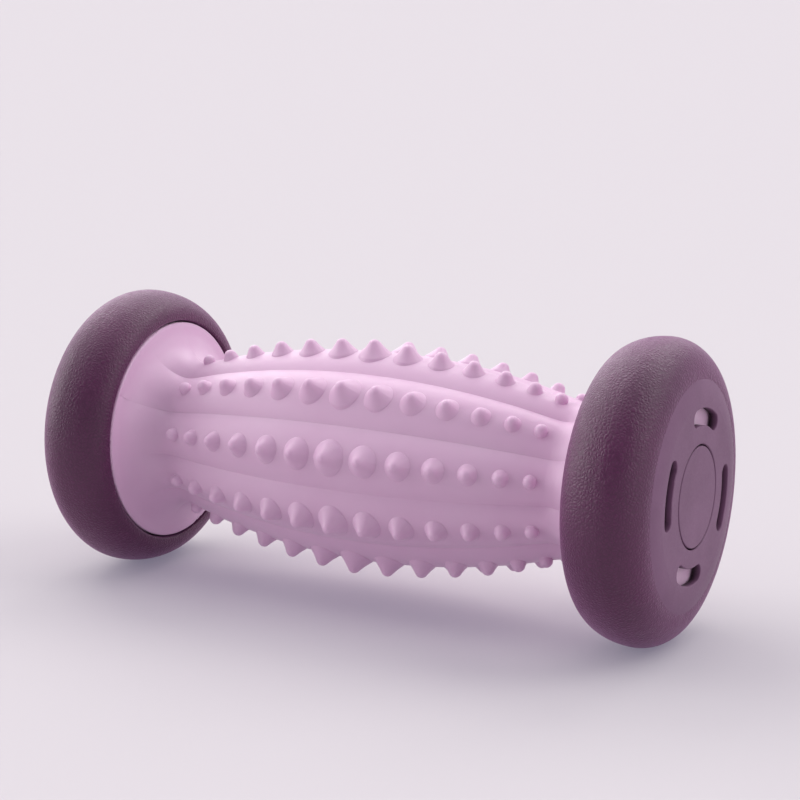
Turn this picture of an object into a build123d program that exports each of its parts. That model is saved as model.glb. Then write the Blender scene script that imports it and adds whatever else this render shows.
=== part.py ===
"""Foot massage roller: a ribbed, nubbed barrel turning on a steel axle between two rubber-tyred wheels.

Frame: +X along the axle, +Z up, origin at the middle of the axle. Millimetres.
The right-hand (+X) wheel group is drawn once and turned half a turn about Z for the left.
"""

from build123d import *

import math
import os

# ---- overall sizes -------------------------------------------------------------------------
overall_length = 165.0
wheel_radius = 36.0
wheel_width = 20.8
barrel_inset = 9.6  # at the barrel's middle, from the tread's largest circle in to a lobe's crest
barrel_bow_radius = 182.0  # the long curve of a lobe's crest, end to end

# ---- barrel shell --------------------------------------------------------------------------
lobe_count = 10
lobe_depth = 1.5  # from a lobe's crest down to the crease beside it
shell_wall = 2.4  # under the crease
flange_round = 0.5
seam_angle = 29.0  # the parting plane of the two half shells, up from -Y
seam_width = 0.3  # the fine groove along the parting line
seam_depth = 0.3
drum_wall = 3.8
rebate_depth = 1.6  # the step that the end disc's skirt sits on
rebate_length = 4.2
rib_thickness = 4.0
rib_spacing = 38.0
rib_axle_clearance = 0.1
pin_radius = 1.2
pin_length = 3.0
pin_clearance = 0.1
pin_place_radius = 11.0

# ---- nubs ----------------------------------------------------------------------------------
nubs_each_side = 6  # each row has one in the middle and this many on both sides
middle_pitch = 9.1
end_pitch = 6.7
middle_nub_radius = 4.0
end_nub_radius = 1.6
middle_nub_height = 3.7
end_nub_height = 1.9
nub_tip_radius = 1.6
nub_root = 1.3  # how far a nub is sunk into its lobe
nub_draft = 0.7
flank_hollow = 10.0  # degrees that a nub's hollow flank bends between tip and foot

# ---- wheel ---------------------------------------------------------------------------------
crown_offset = 0.6  # the tread's largest circle, outboard of the wheel's middle
face_slope_width = 5.0  # from the edge of the face's flat out to its ridge
face_drop = 0.9  # how far the face falls over that width
hub_wall = 2.0
tyre_thickness = 5.6  # over the hub's rim
tyre_face_depth = 1.2  # the step in front of the rim that the tyre fills
rim_thickness = 1.8
lip_depth = 2.8
lip_round = 0.6
slot_count = 4
slot_inset = 4.3  # from the cap's edge out to the slots
slot_margin = 1.5  # from the slots out to the edge of the face's flat
slot_width = 4.0
slot_half_angle = 18.7
slot_turn = -13.5  # how far the wheels stand turned on the axle, about the outward axis
slot_edge_round = 0.25
boss_wall = 2.2
boss_shoulder_wall = 1.7  # round the cap's seat
boss_shoulder_depth = 2.0
boss_inset = 5.3  # from the tyre's lip to the boss's inner end

# ---- running gaps --------------------------------------------------------------------------
wheel_gap = 0.4  # between the turning wheel and the barrel's end
lip_gap = 0.5
flange_recess = 0.2  # how far the flange lies inside the tyre's lip
end_float = 0.2
bush_clearance = 0.04

# ---- axle group ----------------------------------------------------------------------------
axle_radius = 4.0
axle_chamfer = 0.5
cap_ledge = 2.7  # the seat round the pocket that the cap lies on
cap_thickness = 1.6
cap_groove = 0.4
cap_spigot_length = 1.5
cap_spigot_wall = 1.2
pocket_gap = 1.5  # round the bush's flange
cap_headroom = 1.0
screw_radius = 2.0
screw_length = 12.0
screw_head_radius = 4.0
screw_head_height = 2.4
screw_head_round = 0.8
cross_length = 5.2
cross_width = 1.0
cross_depth = 1.3
washer_thickness = 1.0
washer_inset = 0.4  # how far it stays inside the bush's flange
lock_washer_thickness = 0.8
lock_washer_radius = 3.6
lock_washer_gap = 1.0
thrust_washer_thickness = 0.8
bush_wall = 2.0
bush_flange_thickness = 1.0
bush_flange_width = 2.0
bush_length = 3.2
disc_plate = 2.2
disc_floor = 2.5
disc_slope_drop = 1.5  # how far the disc's face falls from its flat to its shoulder
disc_rim_length = 1.2
disc_corner = 2.0
well_wall = 2.0
disc_boss_length = 5.5
disc_boss_wall = 3.0

# ---- places along the axle, from the middle outwards ---------------------------------------
face_x = overall_length / 2
lip_x = face_x - wheel_width
crown_x = (face_x + lip_x) / 2 + crown_offset
flange_x = lip_x + flange_recess
ridge_x = face_x - face_drop
tyre_seat_x = ridge_x - tyre_face_depth
hub_inner_x = face_x - hub_wall
disc_face_x = hub_inner_x - wheel_gap
disc_shoulder_x = disc_face_x - disc_slope_drop
disc_inner_x = disc_shoulder_x - disc_rim_length
rebate_x = disc_inner_x - rebate_length
cap_seat_x = face_x - cap_thickness
head_x = cap_seat_x - cap_headroom - screw_head_height
washer_x = head_x - lock_washer_thickness - washer_thickness
hub_pocket_x = washer_x - end_float - bush_flange_thickness
rim_end_x = lip_x + lip_depth
boss_end_x = lip_x + boss_inset
bush_end_x = boss_end_x - bush_flange_thickness
disc_floor_x = bush_end_x - end_float - thrust_washer_thickness

# ---- radii, from the tread inwards ---------------------------------------------------------
rim_radius = wheel_radius - tyre_thickness
hub_rim_bore = rim_radius - rim_thickness
flange_radius = hub_rim_bore - wheel_gap
lip_bore = flange_radius + lip_gap
drum_bore = flange_radius - drum_wall
skirt_bore = flange_radius - rebate_depth
barrel_crest_radius = wheel_radius - barrel_inset

# ---- radii, from the axle outwards ---------------------------------------------------------
bush_radius = axle_radius + bush_wall
bush_flange_radius = bush_radius + bush_flange_width
washer_radius = bush_flange_radius - washer_inset
disc_boss_radius = axle_radius + disc_boss_wall
pocket_radius = bush_flange_radius + pocket_gap
cap_radius = pocket_radius + cap_ledge
boss_shoulder_radius = cap_radius + boss_shoulder_wall
well_radius = boss_shoulder_radius + wheel_gap
slot_radius = cap_radius + slot_inset + slot_width / 2
face_flat_radius = slot_radius + slot_width / 2 + slot_margin
face_ridge_radius = face_flat_radius + face_slope_width

# ---- the flare -----------------------------------------------------------------------------
# It runs on from the crest's long curve, tangent to it, to the flange, where it stands square to the axle.
flare_top = flange_radius - flange_round
bow_centre = barrel_crest_radius - barrel_bow_radius
flare_height = flare_top - bow_centre
flare_radius = (flange_x**2 + flare_height**2 - barrel_bow_radius**2) / (barrel_bow_radius + flange_x) / 2
flare_x = flange_x - flare_radius
neck_angle = math.atan2(flare_x, flare_height)


def revolved(*edges):
    """A solid of revolution about the axle from a closed outline of (x, radius) edges."""
    return revolve(make_face(edges), Axis.X)


def turned(*points):
    """A solid of revolution about the axle from straight runs between (x, radius) points."""
    return revolved(Polyline(*points, close=True))


def ring(x_low, x_high, outer, inner):
    return turned((x_low, inner), (x_high, inner), (x_high, outer), (x_low, outer))


def on_barrel(x, angle, radius):
    """The point at a place along the axle, an angle up from -Y and a distance from the axle."""
    return Vector(x, -radius * math.cos(math.radians(angle)), radius * math.sin(math.radians(angle)))


# ---- barrel --------------------------------------------------------------------------------
def crest_stations():
    """(x, crest radius, lobe depth) from the middle to the flange: the bow, then the flare."""
    bow_steps, flare_steps = 7, 10
    found = []
    for i in range(bow_steps):
        angle = neck_angle * i / bow_steps
        crest = bow_centre + barrel_bow_radius * math.cos(angle)
        found.append((barrel_bow_radius * math.sin(angle), crest, lobe_depth))
    for i in range(flare_steps + 1):
        share = i / flare_steps
        angle = (math.pi / 2 + neck_angle) * share - neck_angle
        crest = flare_top - flare_radius * math.cos(angle)
        fading = math.cos(math.pi / 2 * share) ** 2
        found.append((flare_x + flare_radius * math.sin(angle), crest, lobe_depth * fading))
    return found


def lobed_section(x, crest, depth):
    """A closed outline of convex lobes that meet in creases."""
    step = 360 / lobe_count
    arcs = []
    for i in range(lobe_count):
        start = seam_angle + i * step
        arcs.append(
            ThreePointArc(
                on_barrel(x, start, crest - depth),
                on_barrel(x, start + step / 2, crest),
                on_barrel(x, start + step, crest - depth),
            )
        )
    return Wire(arcs)


def lobed_body(sunk=0.0):
    """The barrel between its flanges, or the same body with its skin sunk by a small amount."""
    half = crest_stations()
    stations = [(-x, crest, depth) for x, crest, depth in reversed(half[1:])] + half
    return Solid.make_loft([lobed_section(x, crest - sunk, depth) for x, crest, depth in stations])


def barrel_outside():
    """The lobed barrel, its flared flanges, and the plain drum at each end that the wheel runs round."""
    corner = flange_round * (1 - math.sqrt(0.5))
    drum = revolved(
        Line((flange_x, 0), (flange_x, flare_top)),
        ThreePointArc(
            (flange_x, flare_top),
            (flange_x + corner, flange_radius - corner),
            (flange_x + flange_round, flange_radius),
        ),
        Polyline(
            (flange_x + flange_round, flange_radius),
            (rebate_x, flange_radius),
            (rebate_x, skirt_bore),
            (disc_inner_x, skirt_bore),
            (disc_inner_x, 0),
            (flange_x, 0),
        ),
    )
    return lobed_body() + drum + Rot(0, 0, 180) * drum


def mirrored(point):
    return -point[0], point[1]


def barrel_inside():
    """The barrel's hollow, which keeps an even wall under the creases, less the ribs that hold the axle."""
    bow = barrel_bow_radius - lobe_depth - shell_wall
    flare = flare_radius + lobe_depth + shell_wall
    neck = (bow * math.sin(neck_angle), bow_centre + bow * math.cos(neck_angle))
    rise = flare_top - drum_bore
    drum_start = (flare_x + math.sqrt(flare**2 - rise**2), drum_bore)
    flare_middle_angle = (math.asin(math.sqrt(flare**2 - rise**2) / flare) - neck_angle) / 2
    flare_middle = (
        flare_x + flare * math.sin(flare_middle_angle),
        flare_top - flare * math.cos(flare_middle_angle),
    )
    hollow = revolved(
        ThreePointArc(mirrored(neck), (0, bow_centre + bow), neck),
        ThreePointArc(neck, flare_middle, drum_start),
        Polyline(
            drum_start,
            (disc_inner_x, drum_bore),
            (disc_inner_x, 0),
            (-disc_inner_x, 0),
            (-disc_inner_x, drum_bore),
            mirrored(drum_start),
        ),
        ThreePointArc(mirrored(drum_start), mirrored(flare_middle), mirrored(neck)),
    )
    for x in rib_places():
        middle = x - rib_thickness / 2
        hollow -= ring(middle, middle + rib_thickness, flange_radius, axle_radius + rib_axle_clearance)
    return hollow


def rib_places():
    return [-rib_spacing, 0.0, rib_spacing]


def flank_start(radius, height):
    """Where a nub's round tip runs into its flank: (distance from the nub's axis, height, slope)."""
    slope = math.pi / 4
    for _ in range(30):
        reach = nub_tip_radius * math.sin(slope)
        level = height - nub_tip_radius * (1 - math.cos(slope))
        slope = math.atan2(level, radius - reach) + math.radians(flank_hollow / 2)
    return reach, level, slope


def nub(radius, height):
    """A round-tipped nub with a hollow flank, standing on z = 0, with a root below that."""
    reach, level, slope = flank_start(radius, height)
    on_tip = (nub_tip_radius * math.sin(slope / 2), 0, height - nub_tip_radius * (1 - math.cos(slope / 2)))
    sag = math.hypot(radius - reach, level) / 2 * math.tan(math.radians(flank_hollow / 4))
    fall = slope - math.radians(flank_hollow / 2)
    on_flank = ((reach + radius) / 2 - sag * math.sin(fall), 0, level / 2 - sag * math.cos(fall))
    outline = make_face(
        [
            ThreePointArc((0, 0, height), on_tip, (reach, 0, level)),
            ThreePointArc((reach, 0, level), on_flank, (radius, 0, 0)),
            Polyline((radius, 0, 0), (radius + nub_draft, 0, -nub_root), (0, 0, -nub_root), (0, 0, height)),
        ]
    )
    return revolve(outline, Axis.Z)


def nub_row():
    """(x, radius, height) of each nub of a row: largest and widest apart in the middle."""
    found = [(0.0, middle_nub_radius, middle_nub_height)]
    x = 0.0
    for i in range(1, nubs_each_side + 1):
        share = (i - 1) / (nubs_each_side - 1)
        x += middle_pitch + (end_pitch - middle_pitch) * share**2
        size = i / nubs_each_side
        radius = middle_nub_radius + (end_nub_radius - middle_nub_radius) * size
        height = middle_nub_height + (end_nub_height - middle_nub_height) * size
        found += [(x, radius, height), (-x, radius, height)]
    return found


def nubs_between(first_lobe, last_lobe):
    """The nubs of a run of lobes, each square to its lobe's crest."""
    found = []
    for x, radius, height in nub_row():
        pattern = nub(radius, height)
        lean = math.asin(x / barrel_bow_radius)
        crest = bow_centre + barrel_bow_radius * math.cos(lean)
        for i in range(first_lobe, last_lobe):
            angle = seam_angle + (i + 0.5) * 360 / lobe_count
            foot = on_barrel(x, angle, crest)
            outward = on_barrel(0, angle, math.cos(lean)) + Vector(math.sin(lean), 0, 0)
            along = Vector(math.cos(lean), 0, 0) - on_barrel(0, angle, math.sin(lean))
            found.append(Plane(foot, x_dir=along, z_dir=outward).location * pattern)
    return found


def seam_pins(radius, length):
    """The locating pins that stand on the parting plane, at each rib, on both sides of the axle."""
    across = on_barrel(0, seam_angle, 1)
    normal = on_barrel(0, seam_angle + 90, 1)
    found = []
    for x in rib_places():
        for side in (-1, 1):
            place = Vector(x, 0, 0) + across * side * pin_place_radius
            pin = Solid.make_cylinder(radius, 2 * length, Plane(place - normal * length, z_dir=normal))
            found.append(pin)
    return found


def seam_groove(parting):
    """What the fine groove along the parting line takes away, between the flanges."""
    slab = parting * Box(2 * flange_x, 4 * wheel_radius, seam_width)
    return slab - lobed_body(seam_depth)


def barrel_shells():
    """The two half shells: one carries the pins, the other their sockets."""
    parting = Plane((0, 0, 0), x_dir=(1, 0, 0), z_dir=on_barrel(0, seam_angle + 90, 1)).location
    shell = barrel_outside() - barrel_inside() - seam_groove(parting)
    reach = 2 * overall_length
    above = parting * Pos(0, 0, reach / 2) * Box(reach, reach, reach)
    upper = (shell & above) - seam_pins(pin_radius + pin_clearance, pin_length + pin_clearance)
    lower = (shell - above) + seam_pins(pin_radius, pin_length)
    half = lobe_count // 2
    return upper + nubs_between(0, half), lower + nubs_between(half, lobe_count)


# ---- axle group ----------------------------------------------------------------------------
def axle():
    rod = Rot(0, 90, 0) * Cylinder(axle_radius, 2 * washer_x)
    rod = chamfer(rod.edges(), axle_chamfer)
    for turn in (0, 180):
        rod -= Rot(0, 0, turn) * ring(washer_x - screw_length, washer_x, screw_radius, 0)
    return rod


def end_disc():
    """Closes the drum, with a skirt over its end, a well for the wheel's boss, and a boss on the axle."""
    plate_x = disc_face_x - disc_plate
    return turned(
        (disc_face_x, well_radius),
        (disc_face_x, face_flat_radius),
        (disc_shoulder_x, flange_radius),
        (rebate_x, flange_radius),
        (rebate_x, skirt_bore),
        (disc_inner_x, skirt_bore),
        (disc_inner_x, drum_bore),
        (plate_x, drum_bore - disc_corner),
        (plate_x, well_radius + well_wall),
        (disc_floor_x - disc_floor, well_radius + well_wall),
        (disc_floor_x - disc_floor, disc_boss_radius),
        (disc_floor_x - disc_floor - disc_boss_length, disc_boss_radius),
        (disc_floor_x - disc_floor - disc_boss_length, axle_radius),
        (disc_floor_x, axle_radius),
        (disc_floor_x, well_radius),
    )


def thrust_washer():
    outer_x = disc_floor_x + thrust_washer_thickness
    return ring(disc_floor_x, outer_x, bush_flange_radius, axle_radius + bush_clearance)


def retaining_washer():
    return ring(washer_x, washer_x + washer_thickness, washer_radius, screw_radius)


def lock_washer():
    """A split spring washer, drawn pressed flat under the screw's head."""
    body = ring(head_x - lock_washer_thickness, head_x, lock_washer_radius, screw_radius)
    split = Box(4 * lock_washer_thickness, lock_washer_gap, 2 * screw_radius)
    return body - Pos(head_x, 0, lock_washer_radius) * split


def axle_screw():
    screw = ring(head_x, head_x + screw_head_height, screw_head_radius, 0)
    screw = fillet(screw.edges().group_by(Axis.X)[-1], screw_head_round)
    screw += ring(washer_x - screw_length, head_x, screw_radius, 0)
    for size in ((cross_length, cross_width), (cross_width, cross_length)):
        screw -= Pos(head_x + screw_head_height, 0, 0) * Box(2 * cross_depth, *size)
    return screw


# ---- wheel group ---------------------------------------------------------------------------
def face_arc():
    """The face's gentle fall from its flat to its ridge."""
    return ThreePointArc(
        (face_x, face_flat_radius),
        (face_x - face_drop * 0.3, face_flat_radius + face_slope_width / 2),
        (ridge_x, face_ridge_radius),
    )


def hub_slot():
    """One curved slot through the hub's face, with round ends."""
    depth = 2 * hub_wall
    base = Plane((face_x - depth + 1, 0, 0), x_dir=(0, 1, 0), z_dir=(1, 0, 0))
    path = CenterArc((0, 0), slot_radius, 90 - slot_half_angle, 2 * slot_half_angle)
    return extrude(base * SlotArc(path, slot_width), depth)


def hub():
    body = revolved(
        Line((face_x, cap_radius), (face_x, face_flat_radius)),
        face_arc(),
        Polyline(
            (ridge_x, face_ridge_radius),
            (tyre_seat_x, face_ridge_radius),
            (tyre_seat_x, rim_radius),
            (rim_end_x, rim_radius),
            (rim_end_x, hub_rim_bore),
            (disc_shoulder_x + wheel_gap, hub_rim_bore),
            (hub_inner_x, face_flat_radius + wheel_gap),
            (hub_inner_x, boss_shoulder_radius),
            (cap_seat_x - boss_shoulder_depth, boss_shoulder_radius),
            (cap_seat_x - boss_shoulder_depth - boss_wall, pocket_radius + boss_wall),
            (hub_pocket_x - boss_wall, pocket_radius + boss_wall),
            (hub_pocket_x - boss_wall, bush_radius + boss_wall),
            (boss_end_x, bush_radius + boss_wall),
            (boss_end_x, bush_radius),
            (hub_pocket_x, bush_radius),
            (hub_pocket_x, pocket_radius),
            (cap_seat_x, pocket_radius),
            (cap_seat_x, cap_radius),
            (face_x, cap_radius),
        ),
    )
    for i in range(slot_count):
        body -= Rot(slot_turn + i * 360 / slot_count, 0, 0) * hub_slot()
    face_edges = body.edges().filter_by_position(Axis.X, face_x - slot_edge_round, face_x)
    all_but_flats_edge = face_edges.sort_by(SortBy.LENGTH)[:-1]
    return fillet(all_but_flats_edge, slot_edge_round)


def quarter_ellipse(centre, half_width, half_height, start):
    return EllipticalCenterArc(centre, half_width, half_height, start_angle=start, arc_size=90)


def tyre():
    """The tread: half an ellipse each side of its crown, wrapped round the hub's rim."""
    inner_shoulder = lip_bore + lip_round
    outer_height = wheel_radius - face_ridge_radius
    return revolved(
        quarter_ellipse((crown_x, face_ridge_radius), ridge_x - crown_x, outer_height, 0),
        quarter_ellipse((crown_x, inner_shoulder), crown_x - lip_x, wheel_radius - inner_shoulder, 90),
        ThreePointArc(
            (lip_x, inner_shoulder),
            (lip_x + lip_round * (1 - math.sqrt(0.5)), inner_shoulder - lip_round * math.sqrt(0.5)),
            (lip_x + lip_round, lip_bore),
        ),
        Polyline(
            (lip_x + lip_round, lip_bore),
            (rim_end_x, lip_bore),
            (rim_end_x, rim_radius),
            (tyre_seat_x, rim_radius),
            (tyre_seat_x, face_ridge_radius),
            (ridge_x, face_ridge_radius),
        ),
    )


def inner_bush():
    """Pushed into the hub's boss from the barrel's side; its flange runs on the thrust washer."""
    bore = axle_radius + bush_clearance
    body = ring(bush_end_x, boss_end_x, bush_flange_radius, bore)
    return body + ring(boss_end_x, boss_end_x + bush_length, bush_radius, bore)


def outer_bush():
    """Pushed into the hub's boss from outside; its flange runs on the retaining washer."""
    bore = axle_radius + bush_clearance
    body = ring(hub_pocket_x, hub_pocket_x + bush_flange_thickness, bush_flange_radius, bore)
    return body + ring(hub_pocket_x - bush_length, hub_pocket_x, bush_radius, bore)


def hub_cap():
    disc = ring(cap_seat_x, face_x, cap_radius - cap_groove, 0)
    disc = fillet(disc.edges().group_by(Axis.X)[-1], slot_edge_round)
    spigot_x = cap_seat_x - cap_spigot_length
    return disc + ring(spigot_x, cap_seat_x, pocket_radius, pocket_radius - cap_spigot_wall)


# ---- writing -------------------------------------------------------------------------------
def main():
    os.makedirs("parts", exist_ok=True)
    upper, lower = barrel_shells()
    nodes = {"barrel_upper_shell": upper, "barrel_lower_shell": lower, "axle": axle()}
    right_hand = {
        "end_disc": end_disc(),
        "thrust_washer": thrust_washer(),
        "retaining_washer": retaining_washer(),
        "lock_washer": lock_washer(),
        "axle_screw": axle_screw(),
        "wheel_hub": hub(),
        "tyre": tyre(),
        "inner_bush": inner_bush(),
        "outer_bush": outer_bush(),
        "hub_cap": hub_cap(),
    }
    for name, solid in right_hand.items():
        nodes["right_" + name] = solid
        nodes["left_" + name] = Rot(0, 0, 180) * solid
    for name, solid in nodes.items():
        export_step(solid, f"parts/{name}.step")


main()
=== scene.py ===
"""Foot massage roller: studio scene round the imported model.

Metres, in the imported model's frame: +X along the axle, +Z up, -Y the front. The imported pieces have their
final shapes, so this script only gives them their finishes, and adds the floor, lamps and camera.
"""

import math

import bpy
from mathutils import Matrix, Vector


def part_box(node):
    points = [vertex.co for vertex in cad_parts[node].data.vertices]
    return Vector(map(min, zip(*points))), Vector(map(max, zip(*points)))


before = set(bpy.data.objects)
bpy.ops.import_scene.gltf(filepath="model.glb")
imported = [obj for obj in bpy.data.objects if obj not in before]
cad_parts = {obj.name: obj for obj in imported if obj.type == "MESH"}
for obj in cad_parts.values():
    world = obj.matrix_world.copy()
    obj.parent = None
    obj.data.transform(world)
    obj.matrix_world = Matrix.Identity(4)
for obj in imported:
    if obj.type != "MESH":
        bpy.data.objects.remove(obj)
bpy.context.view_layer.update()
scene = bpy.context.scene

FLOOR_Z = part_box("right_tyre")[0].z
FACE_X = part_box("right_wheel_hub")[1].x
FLOOR_RADIUS = 60.0
FLOOR_SIDES = 128
FLOOR_GAP = 0.00005  # under the tyres, so that they don't flicker against it
LAMP_COLOUR = (1.0, 0.99, 0.98)
LAMP_ANGLE = 40  # degrees across, as seen from the roller
NOISE_LOW, NOISE_HIGH = 0.3, 0.7  # most of a noise's values lie between these


# ---- node helpers ---------------------------------------------------------------------------
class Graph:
    """A short way to write a material's nodes. Scales are repeats in a metre."""

    def __init__(self, name):
        self.material = bpy.data.materials.new(name)
        self.material.use_nodes = True
        self.tree = self.material.node_tree
        self.tree.nodes.clear()
        self.out = self.tree.nodes.new("ShaderNodeOutputMaterial")
        self.shader = self.tree.nodes.new("ShaderNodeBsdfPrincipled")
        self.link(self.shader.outputs[0], self.out.inputs["Surface"])
        self.place = self.tree.nodes.new("ShaderNodeTexCoord").outputs["Object"]

    def link(self, source, target):
        self.tree.links.new(source, target)

    def put(self, socket, value):
        if isinstance(value, bpy.types.NodeSocket):
            self.link(value, socket)
        else:
            socket.default_value = value

    def node(self, kind, output=0, inputs=None, **settings):
        n = self.tree.nodes.new(kind)
        for key, value in settings.items():
            setattr(n, key, value)
        for key, value in (inputs or {}).items():
            self.put(n.inputs[key], value)
        return n.outputs[output]

    def noise(self, scale, detail=3.0, roughness=0.5, place=None, output=0):
        inputs = {"Vector": place or self.place, "Scale": scale, "Detail": detail, "Roughness": roughness}
        return self.node("ShaderNodeTexNoise", output, inputs)

    def cell_edges(self, scale, place):
        inputs = {"Vector": place, "Scale": scale}
        return self.node("ShaderNodeTexVoronoi", 0, inputs, feature="DISTANCE_TO_EDGE")

    def span(self, value, low, high, to_low=0.0, to_high=1.0):
        inputs = {"Value": value, "From Min": low, "From Max": high, "To Min": to_low, "To Max": to_high}
        return self.node("ShaderNodeMapRange", 0, inputs)

    def spread(self, noise, to_low=0.0, to_high=1.0):
        return self.span(noise, NOISE_LOW, NOISE_HIGH, to_low, to_high)

    def number(self, operation, a, b=0.0):
        return self.node("ShaderNodeMath", 0, {0: a, 1: b}, operation=operation)

    def vector(self, operation, inputs, output=0):
        return self.node("ShaderNodeVectorMath", output, inputs, operation=operation)

    def mix(self, factor, a, b):
        n = self.tree.nodes.new("ShaderNodeMix")
        n.data_type = "RGBA"
        self.put(n.inputs["Factor"], factor)
        self.put(n.inputs["A"], a)
        self.put(n.inputs["B"], b)
        return n.outputs["Result"]

    def bump(self, height, depth, strength, normal=None):
        inputs = {"Height": height, "Distance": depth, "Strength": strength}
        if normal is not None:
            inputs["Normal"] = normal
        return self.node("ShaderNodeBump", 0, inputs)

    def finish(self, **inputs):
        for key, value in inputs.items():
            self.put(self.shader.inputs[key.replace("_", " ")], value)
        return self.material


def linear(r, g, b):
    """A display colour, 0 to 255, as linear light."""
    def one(v):
        v /= 255
        return v / 12.92 if v <= 0.04045 else ((v + 0.055) / 1.055) ** 2.4
    return (one(r), one(g), one(b), 1.0)


# ---- materials ------------------------------------------------------------------------------
def lilac_plastic():
    """Satin moulded plastic: a slow drift of colour, a faint waviness and a fine mould grain."""
    wave_scale, gloss_scale, grain_scale = 38.0, 160.0, 900.0
    wave_depth, grain_depth = 0.00012, 0.00001
    bump_strength = 0.5
    g = Graph("lilac_plastic")
    wave = g.noise(wave_scale, detail=4.0, roughness=0.55)
    grain = g.noise(grain_scale, detail=3.0, roughness=0.6)
    colour = g.mix(g.spread(wave), linear(210, 170, 200), linear(215, 178, 206))
    rough = g.spread(g.noise(gloss_scale, detail=4.0, roughness=0.6), 0.36, 0.46)
    normal = g.bump(g.span(wave, 0.2, 0.8), wave_depth, bump_strength)
    normal = g.bump(grain, grain_depth, bump_strength, normal)
    return g.finish(Base_Color=colour, Roughness=rough, Normal=normal, Specular_IOR_Level=0.45,
                    Subsurface_Weight=0.12, Subsurface_Radius=(0.0035, 0.0018, 0.003), Subsurface_Scale=1.0,
                    Sheen_Weight=0.15, Sheen_Roughness=0.5)


def plum_tread():
    """Soft rubber with a leather grain: small uneven cells, with painted shade darkening the creases between
    them.
    """
    cell_scale, twist_scale, gloss_scale, drift_scale = 1150.0, 500.0, 420.0, 45.0
    twist = 0.0009  # how far the cells are pushed out of their even pattern
    crease_width = 0.35  # as a share of a cell
    shade_width, shade = 0.4, 0.35  # how wide and how strong the painted shade in the creases is
    grain_depth, bump_strength = 0.00009, 0.8
    g = Graph("plum_tread")
    push = g.noise(twist_scale, detail=2.0, output=1)
    place = g.vector("ADD", {0: g.place, 1: g.vector("SCALE", {0: push, "Scale": twist})})
    grain = g.span(g.cell_edges(cell_scale, place), 0.0, crease_width)
    drift = g.noise(drift_scale, detail=4.0, roughness=0.55)
    colour = g.mix(g.spread(drift), linear(72, 16, 59), linear(84, 22, 69))
    # painted shade: the grain's creases are darkened towards deep plum
    colour = g.mix(g.span(grain, 0.0, shade_width, shade, 0.0), colour, linear(44, 13, 36))
    rough = g.span(g.noise(gloss_scale, detail=2.0), 0.25, 0.75, 0.4, 0.5)
    return g.finish(Base_Color=colour, Roughness=rough, Normal=g.bump(grain, grain_depth, bump_strength),
                    Specular_IOR_Level=0.5, Sheen_Weight=0.45, Sheen_Roughness=0.45,
                    Sheen_Tint=linear(205, 145, 198))


def plum_face():
    """Fine matte moulded plastic. The slots' walls carry painted shade: their colour is darkened, standing
    in for the shade they lie in.
    """
    grain_scale, drift_scale = 2200.0, 60.0
    grain_depth, bump_strength = 0.00003, 0.5
    wall_top, wall_foot = FACE_X - 0.0003, FACE_X - 0.0016  # the walls' painted shade starts and is full at these
    wall_radius, wall_edge = 0.0212, 0.0218  # and it ends between these, outside the slots
    g = Graph("plum_face")
    grain = g.noise(grain_scale, detail=3.0, roughness=0.65)
    drift = g.noise(drift_scale, detail=4.0, roughness=0.6)
    # lighter and greyer than the tread: partly the face's own tone, partly painted sheen for the whitish
    # gloss the face shows
    colour = g.mix(g.spread(drift), linear(110, 74, 103), linear(121, 84, 114))
    across = g.vector("MULTIPLY", {0: g.place, 1: (0.0, 1.0, 1.0)})
    radius = g.vector("LENGTH", {0: across}, output=1)
    along = g.number("ABSOLUTE", g.node("ShaderNodeSeparateXYZ", 0, {0: g.place}))
    sunk = g.span(along, wall_foot, wall_top, 1.0, 0.0)
    painted_wall_shade = g.number("MULTIPLY", sunk, g.span(radius, wall_radius, wall_edge, 1.0, 0.0))
    # painted shade: the slot walls' colour is darkened towards deep plum, in place of their real shade
    colour = g.mix(painted_wall_shade, colour, linear(38, 14, 32))
    return g.finish(Base_Color=colour, Roughness=g.spread(grain, 0.5, 0.62),
                    Normal=g.bump(grain, grain_depth, bump_strength), Specular_IOR_Level=0.45)


def acetal():
    """Natural white acetal, satin."""
    drift_scale, gloss_scale, grain_scale = 200.0, 700.0, 900.0
    grain_depth, bump_strength = 0.00001, 0.5
    g = Graph("acetal")
    colour = g.mix(g.noise(drift_scale), linear(226, 224, 216), linear(236, 234, 228))
    return g.finish(Base_Color=colour, Roughness=g.spread(g.noise(gloss_scale), 0.3, 0.42),
                    Normal=g.bump(g.noise(grain_scale), grain_depth, bump_strength))


def steel():
    """Turned steel, with fine lines that run round the axle."""
    line_scale = 6000.0
    line_stretch = (1.0, 0.05, 0.05)
    line_depth, bump_strength = 0.00001, 0.4
    g = Graph("turned_steel")
    stretched = g.node("ShaderNodeMapping", 0, {"Vector": g.place, "Scale": line_stretch})
    lines = g.noise(line_scale, detail=3.0, roughness=0.6, place=stretched)
    colour = g.mix(lines, linear(150, 152, 156), linear(196, 198, 202))
    return g.finish(Base_Color=colour, Metallic=1.0, Roughness=g.spread(lines, 0.25, 0.4),
                    Normal=g.bump(lines, line_depth, bump_strength))


def paint():
    """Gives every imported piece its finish, by the first part of a name that fits. The rest are steel."""
    lilac, tread, face, white, bare = lilac_plastic(), plum_tread(), plum_face(), acetal(), steel()
    finishes = (("shell", lilac), ("end_disc", lilac), ("tyre", tread), ("hub", face), ("bush", white),
                ("thrust", white))
    for name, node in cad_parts.items():
        material = next((m for word, m in finishes if word in name), bare)
        for slot in node.material_slots:
            slot.material = material


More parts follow.
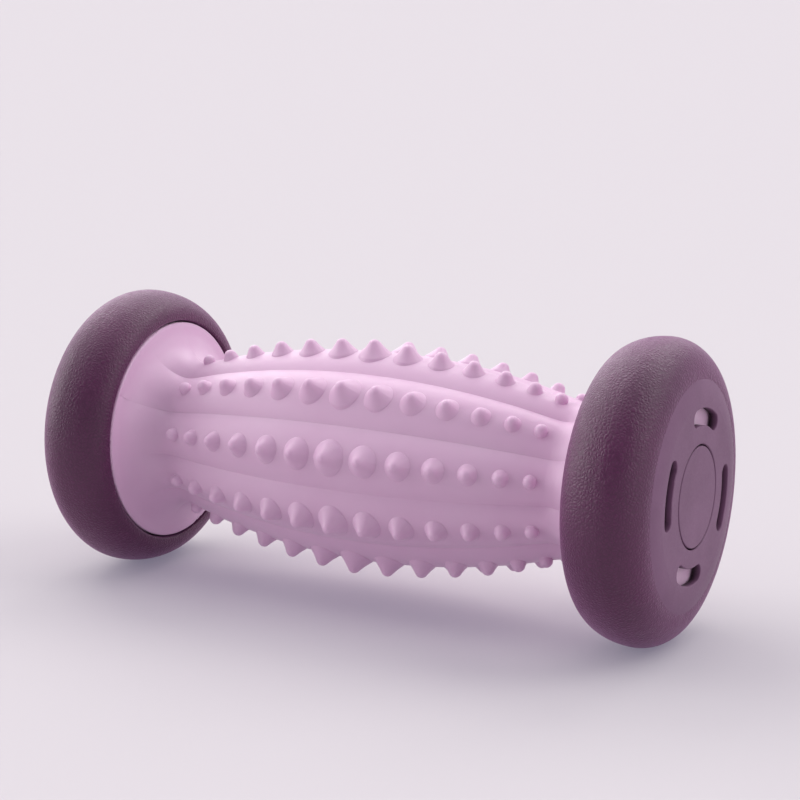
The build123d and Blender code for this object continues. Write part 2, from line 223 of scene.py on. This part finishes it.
# ---- studio ---------------------------------------------------------------------------------
def floor():
    """A plain pale floor, out to the horizon, with a little painted glow of its own, an emission that
    softens the shadows.
    """
    bpy.ops.mesh.primitive_circle_add(vertices=FLOOR_SIDES, radius=FLOOR_RADIUS, fill_type="NGON",
                                      location=(0, 0, FLOOR_Z - FLOOR_GAP))
    plane = bpy.context.object
    plane.name = "floor"
    material = Graph("floor").finish(
        Base_Color=linear(181, 176, 174), Roughness=0.9, Specular_IOR_Level=0.0,
        # painted glow: a cool emission, no lamp, that lifts the floor's shadows and lights the roller from
        # below
        Emission_Color=linear(228, 220, 254), Emission_Strength=0.2)
    plane.data.materials.append(material)


def sky():
    """Soft light from all round, cooler and dimmer than the lamps, in front of a plain pale backdrop."""
    world = bpy.data.worlds.new("studio")
    scene.world = world
    world.use_nodes = True
    tree = world.node_tree
    fill = tree.nodes["Background"]
    fill.inputs["Color"].default_value = linear(228, 226, 246)
    fill.inputs["Strength"].default_value = 0.3
    seen = tree.nodes.new("ShaderNodeBackground")
    seen.inputs["Color"].default_value = linear(236, 231, 234)
    choose = tree.nodes.new("ShaderNodeMixShader")
    tree.links.new(tree.nodes.new("ShaderNodeLightPath").outputs["Is Camera Ray"], choose.inputs[0])
    tree.links.new(fill.outputs[0], choose.inputs[1])
    tree.links.new(seen.outputs[0], choose.inputs[2])
    tree.links.new(choose.outputs[0], tree.nodes["World Output"].inputs["Surface"])


def direction(azimuth, elevation):
    """Towards a place seen from the roller, in radians. Azimuth 0 is the front (-Y), a quarter turn +X."""
    flat = math.cos(elevation)
    return Vector((math.sin(azimuth) * flat, -math.cos(azimuth) * flat, math.sin(elevation)))


def sun(name, azimuth, elevation, power):
    """A broad lamp far away, placed in degrees."""
    data = bpy.data.lights.new(name, "SUN")
    data.energy = power
    data.angle = math.radians(LAMP_ANGLE)
    data.color = LAMP_COLOUR
    lamp = bpy.data.objects.new(name, data)
    scene.collection.objects.link(lamp)
    towards = direction(math.radians(azimuth), math.radians(elevation))
    lamp.rotation_euler = towards.to_track_quat("Z", "Y").to_euler()


def lights():
    """A soft bank overhead and behind, and a lower one all round that is strongest at the left."""
    sun("overhead", azimuth=0, elevation=82, power=0.42)
    sun("high_back_right", azimuth=120, elevation=45, power=1.0)
    sun("high_back", azimuth=180, elevation=45, power=1.05)
    sun("high_back_left", azimuth=235, elevation=42, power=1.05)
    sun("high_left", azimuth=290, elevation=45, power=0.6)
    sun("low_back_right", azimuth=135, elevation=12, power=0.2)
    sun("low_back", azimuth=180, elevation=12, power=0.27)
    sun("low_back_left", azimuth=225, elevation=12, power=0.6)
    sun("low_left", azimuth=275, elevation=15, power=1.1)
    sun("low_front_left", azimuth=310, elevation=12, power=0.65)
    sun("low_front_right", azimuth=40, elevation=10, power=0.18)
    sun("low_right", azimuth=90, elevation=14, power=0.5)


def camera():
    """From the right of the front and a little above, aimed just above the roller's middle."""
    azimuth, elevation = math.radians(28.867), math.radians(12.025)
    distance, target = 0.46678, Vector((0.00513, 0.0, 0.01469))
    data = bpy.data.cameras.new("camera")
    data.sensor_width = 36.0
    data.lens = 85.66
    data.clip_start = 0.01
    o = bpy.data.objects.new("camera", data)
    scene.collection.objects.link(o)
    o.location = target + direction(azimuth, elevation) * distance
    o.rotation_euler = (math.pi / 2 - elevation, 0, azimuth)
    scene.camera = o


paint()
floor()
sky()
lights()
camera()
scene.view_settings.view_transform = "Standard"
